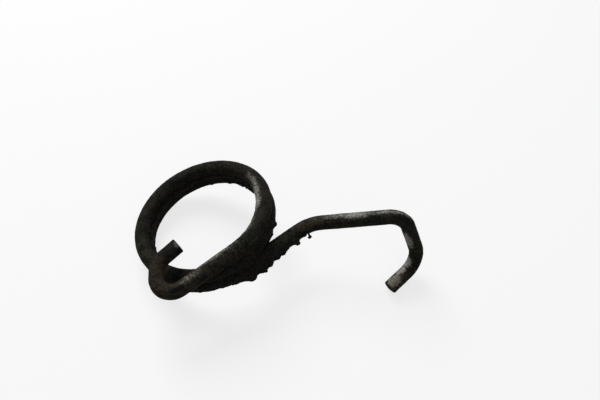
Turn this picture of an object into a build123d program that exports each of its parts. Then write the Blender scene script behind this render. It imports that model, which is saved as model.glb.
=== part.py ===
from build123d import *
import math
import os

# Two-turn torsion spring, bent from one length of round steel wire.
# Lengths are in millimetres and angles in degrees. The wire is first bent in the
# coil's own frame, with the coil axis on Z, and is then turned to lie on the ground.

# Wire
wire_diameter = 4.0
wire_radius = wire_diameter / 2

# Coil body: close-wound and left-handed, its radius taken to the middle of the wire
coil_radius = 18.7
coil_pitch = 4.15
coil_angle = 719.5

# Short leg: leaves the top turn on its tangent and ends in a narrow hook.
# Each bend has a radius, an angle, and the roll of its plane about the wire.
short_leg_length = 16.5
short_bend_radius, short_bend_angle, short_bend_roll = 4.1, 120.0, -15.0
short_back_length = 1.4
short_tip_radius, short_tip_angle, short_tip_roll = 5.6, 55.0, -6.0
short_tip_length = 4.5

# Long arm: leaves the bottom turn on its tangent, kinks once, and ends in a wide
# hook that stands nearly along the coil axis.
arm_root_length = 19.3
arm_kink_radius, arm_kink_angle, arm_kink_roll = 10.5, 39.0, -2.0
arm_length = 18.6
arm_hook_radius, arm_hook_angle, arm_hook_roll = 5.1, 82.0, 88.0
arm_hook_back = 9.5
arm_tip_radius, arm_tip_angle, arm_tip_roll = 6.0, 90.0, -43.0
arm_tip_length = 6.6

# Attitude at rest. The coil leans on the rim of its bottom turn and on the arm's tip.
# The spin turns the spring about its coil axis, the lean tips that axis from upright,
# and the bearing then turns the whole until its longest side lies along X.
rest_spin = 141.7
rest_lean = 18.04
rest_bearing = 170.5

parts_folder = "parts"


def turned(vector, axis_direction, angle):
    """The vector turned about an axis through the frame's origin."""
    return vector.rotate(Axis((0, 0, 0), axis_direction), angle)


def bend_leg(start, heading, coil_axis, steps):
    """Bend a leg from the coil's end, and return its edges from the coil outwards.

    A step of one number is a straight run. A step of three is a bend's radius,
    angle and roll, where a roll of 0 bends in the plane of the bend before it.
    """
    point = start
    bend_axis = (coil_axis - heading * coil_axis.dot(heading)).normalized()
    edges = []
    for step in steps:
        if len(step) == 1:
            end = point + heading * step[0]
            edges.append(Edge.make_line(point, end))
        else:
            radius, angle, roll = step
            bend_axis = turned(bend_axis, heading, roll).normalized()
            centre = point + bend_axis.cross(heading) * radius
            arm = point - centre
            middle = centre + turned(arm, bend_axis, angle / 2)
            end = centre + turned(arm, bend_axis, angle)
            edges.append(Edge.make_three_point_arc(point, middle, end))
            heading = turned(heading, bend_axis, angle)
        point = end
    return edges


def bend_wire():
    """The centreline of the whole wire, from the arm's tip to the short leg's tip."""
    coil_height = coil_pitch * coil_angle / 360
    coil = Edge.make_helix(coil_pitch, coil_height, coil_radius, lefthand=True)
    down_axis = Vector(0, 0, -1)
    short_leg = bend_leg(
        coil @ 1,
        coil % 1,
        down_axis,
        [
            (short_leg_length,),
            (short_bend_radius, short_bend_angle, short_bend_roll),
            (short_back_length,),
            (short_tip_radius, short_tip_angle, short_tip_roll),
            (short_tip_length,),
        ],
    )
    arm = bend_leg(
        coil @ 0,
        -(coil % 0),
        down_axis,
        [
            (arm_root_length,),
            (arm_kink_radius, arm_kink_angle, arm_kink_roll),
            (arm_length,),
            (arm_hook_radius, arm_hook_angle, arm_hook_roll),
            (arm_hook_back,),
            (arm_tip_radius, arm_tip_angle, arm_tip_roll),
            (arm_tip_length,),
        ],
    )
    return Wire([*arm, coil, *short_leg])


def make_spring():
    """Sweep the wire's round section along its centreline, with both ends cut square."""
    centreline = bend_wire()
    section = Plane(centreline @ 0, z_dir=centreline % 0) * Circle(wire_radius)
    return sweep(section, centreline)


def lay_down(spring):
    """Turn the spring to its attitude at rest, with the middle of its base at the origin."""
    turns = [(Axis.Z, rest_spin), (Axis.Y, rest_lean), (Axis.Z, rest_bearing)]
    for axis, angle in turns:
        spring = spring.rotate(axis, angle)
    box = spring.bounding_box()
    middle = box.center()
    return spring.translate((-middle.X, -middle.Y, -box.min.Z))


spring = lay_down(make_spring())
spring.label = "spring_wire"
os.makedirs(parts_folder, exist_ok=True)
export_step(spring, os.path.join(parts_folder, spring.label + ".step"))

wire_length = bend_wire().length
section_area = math.pi * wire_radius**2
print(f"wire length {wire_length:.2f} mm")
print(f"volume {spring.volume:.2f} mm3, section times length {section_area * wire_length:.2f} mm3")
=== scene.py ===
"""An old two-turn torsion spring, greasy, crusted and worn, on a pale studio floor."""

import math
import random

import bmesh
import bpy
from mathutils import Matrix, Vector, noise


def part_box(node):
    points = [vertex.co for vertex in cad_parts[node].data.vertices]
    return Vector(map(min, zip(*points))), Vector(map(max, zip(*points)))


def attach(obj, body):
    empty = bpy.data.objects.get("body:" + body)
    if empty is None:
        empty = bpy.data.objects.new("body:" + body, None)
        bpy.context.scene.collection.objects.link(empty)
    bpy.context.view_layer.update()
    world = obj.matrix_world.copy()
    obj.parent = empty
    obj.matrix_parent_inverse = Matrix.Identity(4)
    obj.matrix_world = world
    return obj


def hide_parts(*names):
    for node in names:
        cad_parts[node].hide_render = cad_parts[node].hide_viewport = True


bl_info = {
    "name": "Weathered torsion spring",
    "version": (1, 0, 0),
    "blender": (4, 5, 0),
    "location": "3D View > Sidebar > Spring",
    "description": "Bends a two-turn torsion spring and weathers it with grease, crust and wear",
    "category": "Add Mesh",
}

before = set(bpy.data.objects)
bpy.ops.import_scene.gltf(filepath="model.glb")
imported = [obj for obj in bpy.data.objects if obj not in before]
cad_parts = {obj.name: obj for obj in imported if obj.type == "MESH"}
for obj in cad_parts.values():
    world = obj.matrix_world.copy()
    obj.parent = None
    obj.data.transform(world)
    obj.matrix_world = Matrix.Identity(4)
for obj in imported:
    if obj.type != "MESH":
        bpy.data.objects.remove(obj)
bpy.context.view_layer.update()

MM = 0.001
WIRE_NODE = "spring_wire"
BODY = "root"

# The legs from the coil outwards, in millimetres and degrees: a run is (length,), and a bend
# is (radius, angle, roll of its plane about the wire).
SHORT_LEG = ((16.5,), (4.1, 120.0, -15.0), (1.4,), (5.6, 55.0, -6.0), (4.37,))
ARM = (
    (19.3,),
    (10.5, 39.0, -2.0),
    (18.6,),
    (5.1, 82.0, 88.0),
    (9.5,),
    (6.0, 90.0, -43.0),
    (6.47,),
)
# Distance along the wire from the short leg's tip to the coil
SHORT_LEG_TOTAL = 36.363
# Turns in degrees from the coil's own frame to the attitude at rest
REST_TURNS = ((141.7, "Z"), (18.04, "Y"), (170.5, "Z"))

# How the wire's mesh is grown: rings in one short length, the shrinking rings that close an
# end, how many of them make its worn edge and how far that edge goes, and the merging distance
RINGS_PER_LENGTH = 24
END_SHRINKS = (0.975, 0.94, 0.90, 0.87, 0.83, 0.8, 0.72, 0.6, 0.4)
EDGE_RINGS = 2
EDGE_LENGTH = 0.13 * MM
JOIN_GAP = 0.001 * MM

# Wear, dirt, painted highlights and painted shade are placed in the wire's own terms: the distance
# from the short leg's tip in millimetres and the clock angle round the wire in degrees, where 0
# faces away from the coil axis and 90 up along it. Each patch is (distance, clock, half length,
# half width, strength), and the strength of a lump is its height in millimetres.
# Pale film, placed where it also paints highlights: along the coil's inner edge, on the short leg,
# on the arm's top and on the hook's inner side. The last patch paints a glint on the short leg's
# cut end.
FILM_AND_HIGHLIGHT_PATCHES = (
    (56.0, 142, 9.0, 52, 1.15),
    (60.5, 130, 6.0, 46, 1.05),
    (64.5, 118, 6.5, 44, 0.85),
    (45.0, 138, 7.0, 46, 0.85),
    (31.0, 117, 12.0, 36, 0.95),
    (23.5, 84, 5.2, 46, 0.85),
    (296.0, 92, 6.0, 42, 0.55),
    (302.0, 101, 7.0, 44, 0.95),
    (307.5, 98, 6.0, 52, 1.35),
    (316.0, 99, 9.0, 36, 1.00),
    (327.8, 334, 5.2, 50, 1.30),
    (339.6, 306, 3.8, 58, 1.30),
    (343.8, 308, 3.0, 54, 1.40),
    (347.4, 332, 3.6, 74, 1.35),
    (0.4, 88, 0.9, 40, 1.1),
)
RUST_PATCHES = (
    (13.0, 95, 9.0, 130, 0.9),
    (22.0, 60, 6.0, 90, 0.8),
    (33.0, 60, 10.0, 60, 0.5),
    (294.0, 80, 7.0, 70, 0.8),
    (301.0, 70, 5.0, 40, 0.5),
    (346.5, 20, 4.5, 60, 1.0),
    (78.5, 104, 6.0, 50, 0.45),
    (124.0, 80, 8.0, 80, 0.4),
)
# Patches of dark bluish grey that are a little metallic, smoother and slightly sunk. The first lies
# on the short leg's first bend.
DARK_PATCHES = (
    (19.2, 58, 2.4, 26, 1.0),
    (2.0, 95, 2.6, 120, 0.55),
)
CRUST_AND_SHADE_PATCHES = (
    (150.0, 40, 12.0, 70, 0.9),
    (157.0, 350, 7.0, 60, 0.8),
    (38.0, 345, 9.0, 50, 0.7),
    (266.0, 15, 9.0, 85, 0.9),
    (276.0, 10, 10.0, 105, 1.0),
    (284.0, 345, 8.0, 80, 1.0),
    (291.5, 345, 3.0, 45, 0.8),
    # The next three patches lie on the coil's inner face. There they raise crust and also paint
    # shade.
    (185.0, 178, 30.0, 42, 0.7),
    (225.0, 150, 16.0, 60, 0.5),
    (105.0, 190, 34.0, 50, 0.6),
    (134.0, 350, 6.0, 40, 0.6),
    (6.2, 100, 1.8, 180, 0.35),
)
LUMPS = (
    (150.0, 20, 2.6, 45, 0.50),
    (155.5, 350, 2.0, 40, 0.50),
    (161.0, 10, 1.8, 40, 0.45),
    (144.0, 30, 2.4, 40, 0.35),
    (42.0, 340, 3.0, 42, 0.40),
    (36.0, 335, 2.4, 40, 0.45),
    (30.5, 340, 2.0, 36, 0.30),
    (262.0, 35, 3.0, 45, 0.30),
    (279.5, 75, 3.0, 50, 0.35),
    (285.0, 62, 2.6, 46, 0.25),
    (111.0, 70, 1.0, 22, 0.15),
    (299.7, 0, 0.8, 25, 0.35),
    (168.2, 357, 2.0, 40, 0.45),
    (168.2, 357, 1.1, 26, 0.90),
    (201.5, 182, 0.9, 24, 0.35),
    (184.7, 170, 1.2, 26, 0.45),
    (188.5, 175, 0.8, 22, 0.35),
    (180.5, 168, 1.6, 30, 0.35),
    (54.0, 168, 18.0, 60, 0.42),
    (38.0, 150, 12.0, 50, 0.20),
    (288.4, 112, 1.4, 26, 0.22),
    (288.0, 350, 1.6, 40, 0.55),
    (284.6, 352, 2.2, 50, 0.60),
    (280.5, 348, 3.2, 60, 1.00),
    (276.2, 333, 4.8, 66, 1.95),
    (272.3, 338, 4.0, 62, 1.80),
    (268.3, 5, 3.2, 50, 0.55),
)

# Grime that fills the grooves between turns: the coil angle where it starts and its sweep in
# degrees, its height in pitches, the radius it lies at and its thickness, in millimetres.
GROOVE_STRIPS = (
    (672, 50, -0.5, 19.5, 0.90),
    (312, 60, -0.5, 19.5, 0.90),
    (560, 100, -0.5, 17.3, 0.80),
    (430, 135, -0.5, 17.1, 1.05),
)
STRIP_SIDES = 20
STRIP_GAP = 0.26 * MM
STRIP_TAPER = 4.0

# Named crumbs: distance along the wire, clock angle, then length, width, height and how far
# out of the surface each one sits, in millimetres.
CRUMBS = (
    (292.6, 352, 0.34, 0.32, 0.70, 0.55),
    (292.5, 352, 0.55, 0.45, 0.50, 1.30),
    (291.2, 345, 0.70, 0.50, 0.45, 0.10),
    (288.0, 350, 0.80, 0.60, 0.55, 0.20),
    (283.0, 350, 1.10, 0.80, 0.60, 0.20),
    (278.5, 355, 0.90, 0.70, 0.50, 0.20),
)
# Where the loose crumbs gather along the wire, how far they stray along it and round it, and
# their least and greatest size
CRUMB_PLACES = (262, 270, 278, 285, 154, 44)
CRUMB_STRAY = 6
CRUMB_CLOCKS = (-60, 50)
CRUMB_SIZES = (0.20, 0.42)
BIG_CRUMB = 0.5

# Grain size in millimetres and shift of each noise that shapes the skin
BROAD_GRAIN = (3.6, 0.0)
MIDDLING_GRAIN = (1.3, 4.1)
FINE_GRAIN = (0.55, 9.3)
CLUMP_GRAIN = (2.6, 2.2)
PIT_GRAIN = (0.7, 13.0)

# How flat a patch is on top: the film and its painted highlight fade from its middle, and the
# others fade near the rim
FILM_AND_HIGHLIGHT_PLATEAU = 1.0
PATCH_PLATEAU = 1.8

# The film and its painted highlight fade out on an end face between these distances from the middle
# of the wire, so the painted glint keeps to the end's rim
END_FACE_RIM = (1.45, 1.75)

# Cloud sizes of the skin's colours in millimetres
BROAD_CLOUD = 5.0
MOTTLE_CLOUD = 2.5
SPECKLE_CLOUD = 0.62
DUST_CLOUD = 0.26
LUMP_CLOUD = 1.1
GRIT_CLOUD = 0.3

# Sockets of a Mix node that mixes two colours
MIX_FACTOR, MIX_FIRST, MIX_SECOND, MIX_RESULT = 0, 6, 7, 2

# The lamps' sizes and places in metres, and the camera's lens in millimetres
KEY_SIZE, KEY_PLACE = 0.34, (-0.26, 0.40, 0.46)
FILL_SIZE, FILL_PLACE = 0.50, (0.16, -0.40, 0.52)
CAMERA_LENS = 36
CAMERA_SENSOR = 36
NEAREST_SEEN = 5 * MM
FLOOR_SINK = 0.02 * MM


class SpringSizes(bpy.types.PropertyGroup):
    """The spring wire's own sizes, as it was bent."""

    wire_diameter: bpy.props.FloatProperty(
        name="Wire diameter", description="Diameter of the round wire",
        default=4.0 * MM, min=0.5 * MM, unit="LENGTH", precision=4)
    coil_radius: bpy.props.FloatProperty(
        name="Coil radius", description="Coil axis to the middle of the wire",
        default=18.7 * MM, unit="LENGTH", precision=4)
    coil_pitch: bpy.props.FloatProperty(
        name="Coil pitch", description="Rise of one turn",
        default=4.15 * MM, unit="LENGTH", precision=5)
    coil_angle: bpy.props.FloatProperty(
        name="Coil angle", description="Angle that the wire is wound through",
        default=math.radians(719.5), subtype="ANGLE", unit="ROTATION")
    ring_gap: bpy.props.FloatProperty(
        name="Ring gap", description="Distance between two rings of the mesh",
        default=0.23 * MM, unit="LENGTH", precision=5)
    ring_sides: bpy.props.IntProperty(
        name="Ring sides", description="Points round the wire", default=44, min=8, max=96)


class WeatherSizes(bpy.types.PropertyGroup):
    """How thick the film, crust and lumps stand on the wire."""

    film_height: bpy.props.FloatProperty(
        name="Film height", description="Thickness of the pale dried film",
        default=0.04 * MM, unit="LENGTH", precision=5)
    coat_height: bpy.props.FloatProperty(
        name="Coat height", description="Mean thickness of the greasy coat",
        default=0.09 * MM, unit="LENGTH", precision=5)
    crust_height: bpy.props.FloatProperty(
        name="Crust height", description="Thickness of the caked grime",
        default=0.55 * MM, unit="LENGTH", precision=5)
    pit_depth: bpy.props.FloatProperty(
        name="Pit depth", description="Depth of the rust pits",
        default=0.07 * MM, unit="LENGTH", precision=5)
    ripple_height: bpy.props.FloatProperty(
        name="Ripple height", description="Unevenness of the greasy skin",
        default=0.055 * MM, unit="LENGTH", precision=5)
    crumb_count: bpy.props.IntProperty(
        name="Crumbs", description="Loose crumbs of grime", default=30, min=0, max=200)


class SpringColours(bpy.types.PropertyGroup):
    """Colours of the wire's skin, in linear light."""

    grease: bpy.props.FloatVectorProperty(
        name="Grease", description="Dark greasy skin", subtype="COLOR", size=3,
        default=(0.0098, 0.0096, 0.0080), min=0, max=1)
    grease_olive: bpy.props.FloatVectorProperty(
        name="Olive grease", description="Greenish bloom on the grease", subtype="COLOR",
        size=3, default=(0.0218, 0.0224, 0.0178), min=0, max=1)
    grease_brown: bpy.props.FloatVectorProperty(
        name="Brown grease", description="Brownish bloom on the grease", subtype="COLOR",
        size=3, default=(0.0245, 0.0226, 0.0180), min=0, max=1)
    rust: bpy.props.FloatVectorProperty(
        name="Rust", description="Brown rust under the grease", subtype="COLOR", size=3,
        default=(0.0370, 0.0300, 0.0215), min=0, max=1)
    # Each of the next three colours is pale film and painted highlight together: the bright core,
    # the faded edge, and the film stained by rust.
    film_and_highlight: bpy.props.FloatVectorProperty(
        name="Film", description="Pale dried film", subtype="COLOR", size=3,
        default=(0.335, 0.320, 0.285), min=0, max=1)
    thin_film_and_highlight: bpy.props.FloatVectorProperty(
        name="Thin film", description="Film where it is nearly rubbed off", subtype="COLOR",
        size=3, default=(0.062, 0.060, 0.053), min=0, max=1)
    tan: bpy.props.FloatVectorProperty(
        name="Tan film", description="Film stained by rust", subtype="COLOR", size=3,
        default=(0.260, 0.220, 0.172), min=0, max=1)
    # Dark bluish grey of the dark patches.
    dark_patch_colour: bpy.props.FloatVectorProperty(
        name="Steel", description="Rubbed dark steel", subtype="COLOR", size=3,
        default=(0.0068, 0.0072, 0.0084), min=0, max=1)
    # Caked grime, which on the coil's inner face is also painted shade.
    crust_and_shade: bpy.props.FloatVectorProperty(
        name="Crust", description="Caked grime", subtype="COLOR", size=3,
        default=(0.0072, 0.0068, 0.0058), min=0, max=1)


class StageSettings(bpy.types.PropertyGroup):
    """The floor, the lamps and the camera."""

    floor_size: bpy.props.FloatProperty(
        name="Floor size", description="Side of the square floor", default=6.0, unit="LENGTH")
    floor_colour: bpy.props.FloatVectorProperty(
        name="Floor colour", description="Pale studio floor", subtype="COLOR", size=3,
        default=(0.97, 0.97, 0.97), min=0, max=1)
    floor_bounce: bpy.props.FloatVectorProperty(
        name="Floor bounce", description="Floor colour that lights the spring from below",
        subtype="COLOR", size=3, default=(0.42, 0.42, 0.42), min=0, max=1)
    glow_share: bpy.props.FloatProperty(
        name="Glow share", description="Share of plain white in the floor round the spring",
        default=0.75, min=0, max=1)
    fade_start: bpy.props.FloatProperty(
        name="Fade start", description="Distance where the floor starts to fade to white",
        default=0.15, unit="LENGTH")
    fade_end: bpy.props.FloatProperty(
        name="Fade end", description="Distance where the floor is all white",
        default=1.2, unit="LENGTH")
    key_power: bpy.props.FloatProperty(
        name="Key power", description="Large soft lamp behind and left", default=3.3, unit="POWER")
    fill_power: bpy.props.FloatProperty(
        name="Fill power", description="Soft lamp above the camera", default=0.50, unit="POWER")
    sky_strength: bpy.props.FloatProperty(
        name="Sky strength", description="Even light from all round", default=0.22, min=0)
    aim: bpy.props.FloatVectorProperty(
        name="Aim", description="Point in the middle of the view", subtype="TRANSLATION",
        size=3, default=(4.3 * MM, 16.56 * MM, 9 * MM), unit="LENGTH")
    distance: bpy.props.FloatProperty(
        name="Distance", description="Camera to the aim", default=181.6 * MM, unit="LENGTH")
    azimuth: bpy.props.FloatProperty(
        name="Azimuth", description="Camera turned about the vertical",
        default=math.radians(0.04), subtype="ANGLE", unit="ROTATION")
    elevation: bpy.props.FloatProperty(
        name="Elevation", description="Camera height as an angle",
        default=math.radians(55.06), subtype="ANGLE", unit="ROTATION")
    roll: bpy.props.FloatProperty(
        name="Roll", description="Camera leaned to its left",
        default=math.radians(7.82), subtype="ANGLE", unit="ROTATION")


class WireBender:
    """Grows a round wire ring by ring, and keeps on each point its place on the wire.

    The layers hold the distance along the wire in millimetres, the clock angle in degrees
    and the distance from the middle of the wire in millimetres. The wire is grown in short
    lengths, which are put away in the whole mesh and joined at the end.
    """

    def __init__(self, radius, sides, gap):
        self.whole = bmesh.new()
        self.mesh = bmesh.new()
        self.radius = radius
        self.sides = sides
        self.gap = gap
        layers = self.mesh.verts.layers.float
        self.along = layers.new("along")
        self.clock = layers.new("clock")
        self.reach = layers.new("reach")

    def start(self, point, heading, outward, distance, sense=1):
        """Put down a ring square to the heading, and go on from it.

        Sense is 1 where the distance grows along the heading. With -1 the wire goes the
        other way from a ring that matches, so that two runs join at it.
        """
        self.put_away()
        bmesh.ops.delete(self.mesh, geom=list(self.mesh.verts), context="VERTS")
        upward = heading.cross(outward)
        facing = Matrix((outward, upward, heading)).transposed().to_4x4()
        circle = bmesh.ops.create_circle(
            self.mesh, segments=self.sides, radius=self.radius,
            matrix=Matrix.Translation(point) @ facing)
        for vert in circle["verts"]:
            arm = vert.co - point
            vert[self.clock] = math.degrees(math.atan2(arm.dot(upward), arm.dot(outward))) % 360
            vert[self.along] = distance
            vert[self.reach] = self.radius / MM
        self.ring = list(self.mesh.edges)
        self.point = point.copy()
        self.heading = heading.copy()
        self.distance = distance
        self.sense = sense

    def put_away(self):
        """Move the finished rings to the whole mesh, and keep the last one to grow from."""
        if self.mesh.faces:
            length = bpy.data.meshes.new("length")
            self.mesh.to_mesh(length)
            self.whole.from_mesh(length)
            bpy.data.meshes.remove(length)
            kept = {vert for edge in self.ring for vert in edge.verts}
            spent = [vert for vert in self.mesh.verts if vert not in kept]
            bmesh.ops.delete(self.mesh, geom=spent, context="VERTS")

    def finished(self):
        """The whole wire, joined up, with its faces outward."""
        self.put_away()
        self.mesh.free()
        bmesh.ops.remove_doubles(self.whole, verts=self.whole.verts, dist=JOIN_GAP)
        bmesh.ops.recalc_face_normals(self.whole, faces=self.whole.faces)
        return self.whole

    def advance(self, motion, travel):
        """Draw the ring out into a new one, moved by the matrix."""
        if len(self.mesh.faces) > RINGS_PER_LENGTH * self.sides:
            self.put_away()
        grown = bmesh.ops.extrude_edge_only(self.mesh, edges=self.ring)["geom"]
        fresh = [part for part in grown if isinstance(part, bmesh.types.BMVert)]
        bmesh.ops.transform(self.mesh, matrix=motion, verts=fresh)
        self.distance += travel * self.sense / MM
        for vert in fresh:
            vert[self.along] = self.distance
        members = set(fresh)
        edges = (part for part in grown if isinstance(part, bmesh.types.BMEdge))
        self.ring = [edge for edge in edges if set(edge.verts) <= members]
        self.point = motion @ self.point
        self.heading = (motion.to_3x3() @ self.heading).normalized()
        return fresh

    def straight(self, length):
        """Feed the wire straight on."""
        count = max(1, round(length / self.gap))
        motion = Matrix.Translation(self.heading * (length / count))
        for _ in range(count):
            self.advance(motion, length / count)

    def bend(self, radius, angle, bend_axis):
        """Feed the wire round an arc about an axis."""
        centre = self.point + bend_axis.cross(self.heading) * radius
        count = max(1, round(radius * angle / self.gap))
        turn = Matrix.Rotation(angle / count, 4, bend_axis)
        motion = Matrix.Translation(centre) @ turn @ Matrix.Translation(-centre)
        for _ in range(count):
            self.advance(motion, radius * angle / count)

    def coil(self, radius, pitch, angle):
        """Wind the wire clockwise up the Z axis."""
        length = angle * math.hypot(radius, pitch / math.tau)
        count = max(1, round(length / self.gap))
        turn = Matrix.Rotation(-angle / count, 4, "Z")
        motion = Matrix.Translation((0, 0, pitch * angle / math.tau / count)) @ turn
        for _ in range(count):
            self.advance(motion, length / count)

    def leg(self, steps, bend_axis):
        """Bend a leg from (length,) runs and (radius, degrees, roll) bends, in millimetres."""
        for step in steps:
            if len(step) == 1:
                self.straight(step[0] * MM)
            else:
                radius, angle, roll = step
                roll_turn = Matrix.Rotation(math.radians(roll), 3, self.heading)
                bend_axis = (roll_turn @ bend_axis).normalized()
                self.bend(radius * MM, math.radians(angle), bend_axis)

    def shear_end(self):
        """Close the wire's end with a worn edge round a flat cut face."""
        share = 1.0
        for number, shrink in enumerate(END_SHRINKS):
            step = EDGE_LENGTH / EDGE_RINGS if number < EDGE_RINGS else 0
            fresh = self.advance(Matrix.Translation(self.heading * step), step)
            centre = Matrix.Translation(-self.point)
            bmesh.ops.scale(self.mesh, vec=(shrink,) * 3, space=centre, verts=fresh)
            share *= shrink
            for vert in fresh:
                vert[self.reach] = share * self.radius / MM
        bmesh.ops.edgeloop_fill(self.mesh, edges=self.ring)


def clock_gap(first, second):
    """The smaller angle between two clock angles."""
    return abs((first - second + 180) % 360 - 180)


def patch_square(patch, along, clock):
    """How far out in a patch a place lies, squared: 0 in its middle, and 1 or more outside."""
    distance, centre, half_length, half_width, _ = patch
    reach = abs(along - distance) / half_length
    if reach >= 1.0:
        return 1.0
    return reach**2 + (clock_gap(clock, centre) / half_width) ** 2


def patch_weight(patches, along, clock, plateau=PATCH_PLATEAU):
    """The strongest weight that any patch has at a place on the wire."""
    weight = 0.0
    for patch in patches:
        square = patch_square(patch, along, clock)
        if square < 1.0:
            weight = max(weight, patch[-1] * min(1.0, plateau * (1.0 - square)))
    return weight


def lump_height(along, clock):
    """Height in millimetres of the named lumps at a place on the wire."""
    height = 0.0
    for lump in LUMPS:
        square = patch_square(lump, along, clock)
        if square < 1.0:
            height = max(height, lump[-1] * (1.0 - square) ** 1.5)
    return height


def smooth(value, low, high):
    """0 below low, 1 above high, and an eased rise between."""
    share = min(1.0, max(0.0, (value - low) / (high - low)))
    return share * share * (3 - 2 * share)


def grain(place, size, shift=0.0):
    """Smooth noise of about -1 to 1 with grains of this size in millimetres.

    The shift moves the grains, so that two noises of one size differ.
    """
    return noise.noise(place / (size * MM) + Vector((shift, 1.7 * shift, -shift)))


def finish_piece(mesh, name, material, replaced=None):
    """Make an object of a bmesh, ride it on the spring's body, and give it its finish."""
    data = bpy.data.meshes.new(name)
    mesh.to_mesh(data)
    mesh.free()
    data.shade_smooth()
    piece = bpy.data.objects.new(name, data)
    bpy.context.scene.collection.objects.link(piece)
    data.materials.append(material)
    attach(piece, BODY)
    if replaced:
        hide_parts(replaced)
    return piece


def lay_down(mesh, offset=None):
    """Turn a mesh from the coil's frame to its rest attitude and set it where the CAD wire is."""
    for angle, axis in REST_TURNS:
        turn = Matrix.Rotation(math.radians(angle), 3, axis)
        bmesh.ops.rotate(mesh, cent=(0, 0, 0), matrix=turn, verts=mesh.verts)
    if offset is None:
        low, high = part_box(WIRE_NODE)
        lows = [min(vert.co[axis] for vert in mesh.verts) for axis in range(3)]
        highs = [max(vert.co[axis] for vert in mesh.verts) for axis in range(3)]
        middle = (low + high) / 2
        offset = Vector((
            middle.x - (lows[0] + highs[0]) / 2,
            middle.y - (lows[1] + highs[1]) / 2,
            low.z - lows[2]))
    bmesh.ops.translate(mesh, vec=offset, verts=mesh.verts)
    return offset


def coil_start(sizes, radius):
    """Point, heading and outward direction at the bottom of a coil of this radius."""
    slope = math.atan2(sizes.coil_pitch, math.tau * sizes.coil_radius)
    heading = Vector((0, -math.cos(slope), math.sin(slope)))
    return Vector((radius, 0, 0)), heading, Vector((1, 0, 0))


def square_axis(heading):
    """The downward axis made square to a heading."""
    down = Vector((0, 0, -1))
    return (down - heading * down.dot(heading)).normalized()


def bend_whole_wire(sizes):
    """Bend the coil and both legs in the coil's own frame."""
    bender = WireBender(sizes.wire_diameter / 2, sizes.ring_sides, sizes.ring_gap)
    point, heading, outward = coil_start(sizes, sizes.coil_radius)
    turn_length = math.hypot(sizes.coil_radius, sizes.coil_pitch / math.tau)
    bottom = SHORT_LEG_TOTAL + sizes.coil_angle * turn_length / MM
    bender.start(point, heading, outward, bottom, -1)
    bender.coil(sizes.coil_radius, sizes.coil_pitch, sizes.coil_angle)
    bender.leg(SHORT_LEG, square_axis(bender.heading))
    bender.shear_end()
    bender.start(point, heading, outward, bottom)
    bender.heading = -heading
    bender.leg(ARM, square_axis(heading))
    bender.shear_end()
    return bender.finished()


def weather(mesh, sizes):
    """Raise film, crust and lumps on the wire, sink its pits, and keep the masks on layers. The
    film mask also places painted highlights and a painted glint, and the crust mask paints shade on
    the coil's inner face.
    """
    layers = mesh.verts.layers.float
    film_and_highlight_layer, rust_layer, dark_patch_layer, crust_and_shade_layer = (
        layers.new(name) for name in ("film_and_highlight", "rust", "dark_patch", "crust_and_shade"))
    along_layer, clock_layer, reach_layer = layers["along"], layers["clock"], layers["reach"]
    mesh.normal_update()
    moves = []
    for vert in mesh.verts:
        along, clock, place = vert[along_layer], vert[clock_layer], vert.co
        broad = grain(place, *BROAD_GRAIN)
        middling = grain(place, *MIDDLING_GRAIN)
        fine = grain(place, *FINE_GRAIN)
        rough = 0.5 * middling + 0.35 * fine + 0.15 * broad
        # Pale film, which also places the painted highlights and the end's painted glint.
        film_and_highlight = patch_weight(FILM_AND_HIGHLIGHT_PATCHES, along, clock, FILM_AND_HIGHLIGHT_PLATEAU)
        film_and_highlight = smooth(film_and_highlight + 0.30 * rough, 0.0, 1.35) * smooth(vert[reach_layer], *END_FACE_RIM)
        rust = smooth(patch_weight(RUST_PATCHES, along, clock) + 0.5 * rough, 0.0, 1.0)
        # Dark bluish patches.
        dark_patch = smooth(patch_weight(DARK_PATCHES, along, clock) + 0.35 * rough, 0.35, 0.75)
        # Caked grime; on the coil's inner face it is also painted shade.
        crust_and_shade = smooth(patch_weight(CRUST_AND_SHADE_PATCHES, along, clock) + 0.6 * rough, 0.25, 0.95)
        clumps = 0.35 + 1.1 * grain(place, *CLUMP_GRAIN) + 0.22 * middling + 0.06 * fine
        pits = max(0.0, grain(place, *PIT_GRAIN) - 0.25) * rust
        height = sizes.coat_height
        height += sizes.ripple_height * (0.9 * broad + 0.7 * middling + 0.35 * fine)
        height += sizes.film_height * film_and_highlight * (1 + 0.5 * fine)
        height += sizes.crust_height * crust_and_shade * clumps
        height -= sizes.pit_depth * (2.2 * pits + 0.6 * dark_patch)
        height += lump_height(along, clock) * MM * (1 + 0.18 * middling + 0.08 * fine)
        vert[film_and_highlight_layer] = film_and_highlight * (1 - 0.8 * crust_and_shade)
        vert[rust_layer] = rust
        vert[dark_patch_layer] = dark_patch
        vert[crust_and_shade_layer] = crust_and_shade
        moves.append(vert.normal * height)
    for vert, move in zip(mesh.verts, moves):
        vert.co += move
        vert.co.z = max(vert.co.z, 0.0)


class Value:
    """A number socket that can be used in arithmetic, which adds its Math nodes."""

    def __init__(self, painter, socket):
        self.painter = painter
        self.socket = socket

    def math(self, operation, other):
        """This number, then the other."""
        inputs = {0: self, 1: other}
        return self.painter.value("ShaderNodeMath", {"operation": operation}, inputs)

    def reflected(self, operation, other):
        """The other number, then this."""
        inputs = {0: other, 1: self}
        return self.painter.value("ShaderNodeMath", {"operation": operation}, inputs)

    def __add__(self, other):
        return self.math("ADD", other)

    def __sub__(self, other):
        return self.math("SUBTRACT", other)

    def __mul__(self, other):
        return self.math("MULTIPLY", other)

    def __rsub__(self, other):
        return self.reflected("SUBTRACT", other)

    __radd__ = __add__
    __rmul__ = __mul__


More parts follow.
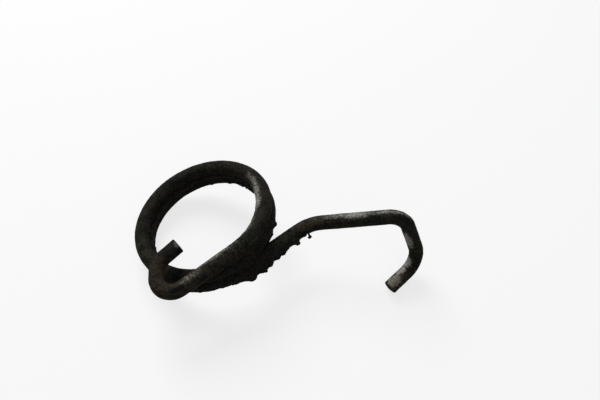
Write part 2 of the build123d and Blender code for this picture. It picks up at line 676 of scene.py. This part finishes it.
class Painter:
    """Builds one material's nodes."""

    def __init__(self, tree):
        self.tree = tree
        tree.nodes.clear()

    def node(self, kind, settings=None, inputs=None):
        """Add a node: its settings first, then its sockets' values or links."""
        made = self.tree.nodes.new(kind)
        for name, setting in (settings or {}).items():
            setattr(made, name, setting)
        for name, given in (inputs or {}).items():
            given = given.socket if isinstance(given, Value) else given
            if isinstance(given, bpy.types.NodeSocket):
                self.tree.links.new(given, made.inputs[name])
            else:
                made.inputs[name].default_value = given
        return made

    def value(self, kind, settings=None, inputs=None, output=0):
        """Add a node and take one number from it."""
        return Value(self, self.node(kind, settings, inputs).outputs[output])

    def object_place(self):
        """The place on the piece, in metres."""
        return self.node("ShaderNodeTexCoord").outputs["Object"]

    def attribute(self, name):
        """A number kept on the mesh."""
        return self.value("ShaderNodeAttribute", {"attribute_name": name}, output="Fac")

    def noise(self, place, size, detail=3.0, roughness=0.55):
        """Cloudy noise of 0 to 1 with clouds of this size in millimetres."""
        inputs = {"Vector": place, "Scale": 1 / (size * MM), "Detail": detail,
                  "Roughness": roughness}
        return self.value("ShaderNodeTexNoise", None, inputs, "Fac")

    def eased(self, value, low, high):
        """0 below low, 1 above high."""
        inputs = {"Value": value, "From Min": low, "From Max": high}
        return self.value("ShaderNodeMapRange", {"interpolation_type": "SMOOTHSTEP"}, inputs)

    def blend(self, factor, first, second):
        """Mix two colours."""
        inputs = {MIX_FACTOR: factor, MIX_FIRST: opaque(first), MIX_SECOND: opaque(second)}
        return self.node("ShaderNodeMix", {"data_type": "RGBA"}, inputs).outputs[MIX_RESULT]

    def surface(self, relief, strength, depth, inputs):
        """Add the bump of a relief, the shader with these inputs, and the output."""
        bump = self.node("ShaderNodeBump", None, {
            "Strength": strength, "Distance": depth * MM, "Height": relief})
        shader = self.node(
            "ShaderNodeBsdfPrincipled", None, {**inputs, "Normal": bump.outputs[0]})
        self.node("ShaderNodeOutputMaterial", None, {"Surface": shader.outputs[0]})


def opaque(colour):
    """A colour as its socket takes it: a link as it is, and three numbers with an alpha."""
    return colour if isinstance(colour, bpy.types.NodeSocket) else (*colour, 1.0)


def new_material(name):
    """A material with no nodes yet, and its painter."""
    material = bpy.data.materials.new(name)
    material.use_nodes = True
    return material, Painter(material.node_tree)


def skin_material(colours):
    """Greasy, rusty steel with pale film and painted highlights, dark bluish patches, and caked
    grime that is also painted shade on the coil's inner face, where its layers say.
    """
    material, paint = new_material("greasy_spring_skin")
    place = paint.object_place()
    broad = paint.noise(place, BROAD_CLOUD, 2.0)
    mottle = paint.eased(paint.noise(place, MOTTLE_CLOUD, 5.0, 0.60), 0.32, 0.68)
    speckle = paint.eased(paint.noise(place, SPECKLE_CLOUD, 4.0, 0.65), 0.34, 0.66)
    dust = paint.eased(paint.noise(place, DUST_CLOUD, 3.0, 0.7), 0.34, 0.66)
    tint = paint.eased(broad + 0.25 * (mottle - 0.5), 0.38, 0.62)

    film_and_highlight = paint.attribute("film_and_highlight")
    rust = paint.attribute("rust")
    dark_patch = paint.attribute("dark_patch")
    crust_and_shade = paint.attribute("crust_and_shade")

    spots = 0.5 * (speckle - 0.5) + 0.7 * (dust - 0.5)
    # Masks of the pale film and its painted highlights, with their bright core.
    film_and_highlight_mask = paint.eased(film_and_highlight + 0.75 * spots, 0.05, 1.15)
    film_and_highlight_core = paint.eased(film_and_highlight + 0.9 * spots, 0.25, 1.25)
    rust_mask = paint.eased(rust + 0.6 * (mottle - 0.5) + 0.5 * (speckle - 0.5), 0.25, 1.0)
    dark_patch_mask = paint.eased(dark_patch + 0.35 * (speckle - 0.5), 0.20, 0.95)
    crust_and_shade_mask = paint.eased(crust_and_shade + 0.5 * (mottle - 0.5) + 0.2 * (speckle - 0.5), 0.20, 0.80)
    bloom = paint.eased(0.3 * broad + 0.4 * mottle + 0.3 * speckle + 0.25 * dust, 0.30, 0.90)

    pale_grease = paint.blend(tint, colours.grease_olive, colours.grease_brown)
    skin = paint.blend(bloom, colours.grease, pale_grease)
    skin = paint.blend(rust_mask * (0.35 + 0.65 * speckle), skin, colours.rust)
    # Colours of the pale film that also paint the highlights: bright in the core and faded at the
    # edge.
    stained_film_and_highlight = paint.blend(paint.eased(mottle + rust, 0.5, 1.6), colours.film_and_highlight, colours.tan)
    dried_film_and_highlight = paint.blend(film_and_highlight_core, colours.thin_film_and_highlight, stained_film_and_highlight)
    skin = paint.blend(0.94 * film_and_highlight_mask, skin, dried_film_and_highlight)
    # Dark bluish patches.
    skin = paint.blend(dark_patch_mask, skin, colours.dark_patch_colour)
    # Caked grime, which is also painted shade on the coil's inner face.
    skin = paint.blend(0.8 * crust_and_shade_mask, skin, paint.blend(speckle, colours.crust_and_shade, pale_grease))

    roughness = 0.60 + 0.16 * (speckle - 0.5) - 0.14 * film_and_highlight_mask - 0.14 * dark_patch_mask
    roughness = roughness + 0.20 * crust_and_shade_mask
    relief = 0.35 * speckle + 0.2 * dust + 0.35 * mottle + 0.25 * film_and_highlight_mask
    paint.surface(relief, 0.6, 0.12, {
        "Base Color": skin, "Roughness": roughness, "Metallic": 0.3 * dark_patch_mask, "IOR": 1.05,
        "Coat Weight": 0.30 * film_and_highlight_core, "Coat Roughness": 0.30, "Coat IOR": 1.35})
    return material


def crust_material(colours):
    """Caked, gritty grime."""
    material, paint = new_material("caked_grime")
    place = paint.object_place()
    lumps = paint.noise(place, LUMP_CLOUD, 5.0, 0.65)
    grit = paint.noise(place, GRIT_CLOUD, 3.0, 0.7)
    shade = paint.eased(lumps + 0.4 * (grit - 0.5), 0.40, 0.75)
    skin = paint.blend(shade, colours.crust_and_shade, colours.grease_brown)
    skin = paint.blend(0.4 * paint.eased(grit, 0.55, 0.75), skin, colours.rust)
    paint.surface(lumps + 0.5 * grit, 0.7, 0.2, {
        "Base Color": skin, "Roughness": 0.62 + 0.25 * (grit - 0.5), "IOR": 1.09})
    return material


class SPRING_OT_wire(bpy.types.Operator):
    """Bend the wire and weather its skin"""

    bl_idname = "spring.wire"
    bl_label = "Weathered wire"

    def execute(self, context):
        scene = context.scene
        mesh = bend_whole_wire(scene.spring_sizes)
        offset = lay_down(mesh)
        weather(mesh, scene.spring_weather)
        material = skin_material(scene.spring_colours)
        piece = finish_piece(mesh, "spring_wire_weathered", material, WIRE_NODE)
        piece["lay_down_offset"] = offset
        return {"FINISHED"}


def groove_strip(sizes, start, sweep, rise, radius, thickness):
    """Wind one strip of grime that lies in a groove and tapers to both ends."""
    bender = WireBender(thickness * MM, STRIP_SIDES, STRIP_GAP)
    point, heading, outward = coil_start(sizes, radius * MM)
    bender.start(point, heading, outward, 0)
    bender.coil(radius * MM, sizes.coil_pitch, math.radians(sweep))
    length = bender.distance
    strip = bender.finished()
    along_layer = strip.verts.layers.float["along"]
    open_ends = [edge for edge in strip.edges if edge.is_boundary]
    bmesh.ops.edgeloop_fill(strip, edges=open_ends)
    turn = Matrix.Rotation(-math.radians(start), 3, "Z")
    bmesh.ops.rotate(strip, cent=(0, 0, 0), matrix=turn, verts=strip.verts)
    lift = Vector((0, 0, sizes.coil_pitch * (start / 360 + rise)))
    bmesh.ops.translate(strip, vec=lift, verts=strip.verts)
    bmesh.ops.recalc_face_normals(strip, faces=strip.faces)
    strip.normal_update()
    moves = []
    for vert in strip.verts:
        end_gap = min(vert[along_layer], length - vert[along_layer])
        taper = 1 - smooth(end_gap / STRIP_TAPER, 0.0, 1.0)
        lumps = 0.30 * grain(vert.co, 1.5) + 0.22 * grain(vert.co, 0.6, 3.0)
        moves.append(vert.normal * thickness * MM * (lumps - 0.65 * taper))
    for vert, move in zip(strip.verts, moves):
        vert.co += move
    return strip


class SPRING_OT_grooves(bpy.types.Operator):
    """Cake grime into the grooves between the turns"""

    bl_idname = "spring.grooves"
    bl_label = "Caked grooves"

    def execute(self, context):
        scene = context.scene
        mesh = bmesh.new()
        for placing in GROOVE_STRIPS:
            strip = groove_strip(scene.spring_sizes, *placing)
            copy = bpy.data.meshes.new("strip")
            strip.to_mesh(copy)
            strip.free()
            mesh.from_mesh(copy)
            bpy.data.meshes.remove(copy)
        wire = bpy.data.objects["spring_wire_weathered"]
        lay_down(mesh, Vector(wire["lay_down_offset"]))
        material = crust_material(scene.spring_colours)
        finish_piece(mesh, "groove_grime", material)
        return {"FINISHED"}


def add_crumb(mesh, vert, length, width, height, lift):
    """Stick a gritty crumb on the wire at a point of its mesh. Sizes are in millimetres."""
    turn = vert.normal.to_track_quat("Z", "Y").to_matrix().to_4x4()
    middle = vert.co + vert.normal * lift * MM
    place = Matrix.Translation(middle) @ turn
    shape = Matrix.Diagonal((length * MM, width * MM, height * MM, 1))
    ball = bmesh.ops.create_icosphere(
        mesh, subdivisions=3 if length > BIG_CRUMB else 2, radius=1, matrix=place @ shape)
    for point in ball["verts"]:
        arm = point.co - middle
        point.co += arm * (0.5 * grain(point.co, 0.6) + 0.25 * grain(point.co, 0.25, 5.0))
        point.co.z = max(point.co.z, 0.0)


class SPRING_OT_crumbs(bpy.types.Operator):
    """Stick crumbs of grime under the arm's root and in the coil"""

    bl_idname = "spring.crumbs"
    bl_label = "Crumbs"

    def execute(self, context):
        scene = context.scene
        chance = random.Random(7)
        wire = bpy.data.objects["spring_wire_weathered"].data
        alongs = [item.value for item in wire.attributes["along"].data]
        clocks = [item.value for item in wire.attributes["clock"].data]
        spots = list(CRUMBS)
        for _ in range(scene.spring_weather.crumb_count):
            centre = chance.choice(CRUMB_PLACES)
            size = chance.uniform(*CRUMB_SIZES)
            spots.append((
                centre + chance.uniform(-CRUMB_STRAY, CRUMB_STRAY),
                chance.uniform(*CRUMB_CLOCKS) % 360,
                size * chance.uniform(0.9, 1.5), size, size * chance.uniform(0.4, 0.7), 0.0))
        mesh = bmesh.new()
        for along, clock, *crumb in spots:
            nearest = min(
                range(len(alongs)),
                key=lambda index: abs(alongs[index] - along) + clock_gap(clocks[index], clock) / 30)
            add_crumb(mesh, wire.vertices[nearest], *crumb)
        material = crust_material(scene.spring_colours)
        finish_piece(mesh, "grime_crumbs", material)
        return {"FINISHED"}


class SPRING_OT_stage(bpy.types.Operator):
    """Set the pale floor, the soft lamps and the camera"""

    bl_idname = "spring.stage"
    bl_label = "Stage"

    def execute(self, context):
        settings = context.scene.spring_stage
        make_floor(settings)
        make_sky(context.scene, settings)
        make_lamp("key_lamp", settings.key_power, KEY_SIZE, KEY_PLACE)
        make_lamp("fill_lamp", settings.fill_power, FILL_SIZE, FILL_PLACE)
        make_camera(context.scene, settings)
        context.scene.view_settings.view_transform = "Standard"
        return {"FINISHED"}


def background_rays(paint):
    """1 for a ray that the camera, a gloss or a glass sends, and 0 for others."""
    rays = paint.node("ShaderNodeLightPath")
    seen = Value(paint, rays.outputs["Is Camera Ray"])
    seen = seen.math("MAXIMUM", rays.outputs["Is Glossy Ray"])
    return seen.math("MAXIMUM", rays.outputs["Is Transmission Ray"])


def make_floor(settings):
    """A wide flat floor just under the spring, which fades to white far away."""
    mesh = bmesh.new()
    sink = Matrix.Translation((0, 0, -FLOOR_SINK))
    bmesh.ops.create_grid(
        mesh, x_segments=2, y_segments=2, size=settings.floor_size / 2, matrix=sink)
    data = bpy.data.meshes.new("studio_floor")
    mesh.to_mesh(data)
    mesh.free()
    floor = bpy.data.objects.new("studio_floor", data)
    bpy.context.scene.collection.objects.link(floor)
    material, paint = new_material("studio_floor_white")
    far = paint.value(
        "ShaderNodeVectorMath", {"operation": "LENGTH"}, {0: paint.object_place()}, "Value")
    fade = paint.eased(far, settings.fade_start, settings.fade_end)
    glow_share = settings.glow_share + (1 - settings.glow_share) * fade
    pale = paint.node("ShaderNodeBsdfDiffuse", None, {"Color": opaque(settings.floor_colour)})
    glow = paint.node("ShaderNodeEmission", None, {"Color": (1, 1, 1, 1), "Strength": 1.0})
    dull = paint.node("ShaderNodeBsdfDiffuse", None, {"Color": opaque(settings.floor_bounce)})
    bright = paint.node("ShaderNodeMixShader", None, {
        0: glow_share, 1: pale.outputs[0], 2: glow.outputs[0]})
    seen = paint.node("ShaderNodeMixShader", None, {
        0: background_rays(paint), 1: dull.outputs[0], 2: bright.outputs[0]})
    paint.node("ShaderNodeOutputMaterial", None, {"Surface": seen.outputs[0]})
    data.materials.append(material)


def make_sky(scene, settings):
    """White to the eye and to gloss, and a plain even light to everything else."""
    world = bpy.data.worlds.new("studio_sky")
    world.use_nodes = True
    paint = Painter(world.node_tree)
    strength = settings.sky_strength
    level = strength + (1 - strength) * background_rays(paint)
    sky = paint.node("ShaderNodeBackground", None, {"Color": (1, 1, 1, 1), "Strength": level})
    paint.node("ShaderNodeOutputWorld", None, {"Surface": sky.outputs[0]})
    scene.world = world


def make_lamp(name, power, size, position):
    """A large square lamp that faces the spring."""
    light = bpy.data.lights.new(name, "AREA")
    light.energy = power
    light.size = size
    lamp = bpy.data.objects.new(name, light)
    lamp.location = position
    lamp.rotation_euler = Vector(position).to_track_quat("Z", "Y").to_euler()
    bpy.context.scene.collection.objects.link(lamp)


def make_camera(scene, settings):
    """The camera, turned about its aim."""
    data = bpy.data.cameras.new("studio_camera")
    data.sensor_width = CAMERA_SENSOR
    data.lens = CAMERA_LENS
    data.clip_start = NEAREST_SEEN
    camera = bpy.data.objects.new("studio_camera", data)
    turn = (
        Matrix.Rotation(settings.azimuth, 4, "Z")
        @ Matrix.Rotation(math.pi / 2 - settings.elevation, 4, "X")
        @ Matrix.Rotation(settings.roll, 4, "Z"))
    back = Matrix.Translation((0, 0, settings.distance))
    camera.matrix_world = Matrix.Translation(settings.aim) @ turn @ back
    scene.collection.objects.link(camera)
    scene.camera = camera


class SPRING_PT_panel(bpy.types.Panel):
    """Shows the spring's settings and the buttons of its operators"""

    bl_idname = "SPRING_PT_panel"
    bl_label = "Weathered spring"
    bl_space_type = "VIEW_3D"
    bl_region_type = "UI"
    bl_category = "Spring"

    def draw(self, context):
        for group in GROUPS:
            box = self.layout.box()
            settings = getattr(context.scene, group)
            for name in settings.bl_rna.properties.keys():
                if name not in ("rna_type", "name"):
                    box.prop(settings, name)
        for operator in OPERATORS:
            self.layout.operator(operator.bl_idname)


GROUPS = {
    "spring_sizes": SpringSizes,
    "spring_weather": WeatherSizes,
    "spring_colours": SpringColours,
    "spring_stage": StageSettings,
}
OPERATORS = (SPRING_OT_wire, SPRING_OT_grooves, SPRING_OT_crumbs, SPRING_OT_stage)


def register():
    """Add the settings, the operators and the panel."""
    for group, kind in GROUPS.items():
        bpy.utils.register_class(kind)
        setattr(bpy.types.Scene, group, bpy.props.PointerProperty(type=kind))
    for operator in OPERATORS:
        bpy.utils.register_class(operator)
    bpy.utils.register_class(SPRING_PT_panel)


def unregister():
    """Take away the panel, the operators and the settings."""
    bpy.utils.unregister_class(SPRING_PT_panel)
    for operator in reversed(OPERATORS):
        bpy.utils.unregister_class(operator)
    for group, kind in GROUPS.items():
        delattr(bpy.types.Scene, group)
        bpy.utils.unregister_class(kind)


def main():
    """Make the spring and its stage."""
    register()
    bpy.ops.spring.wire()
    bpy.ops.spring.grooves()
    bpy.ops.spring.crumbs()
    bpy.ops.spring.stage()


if __name__ == "__main__":
    main()
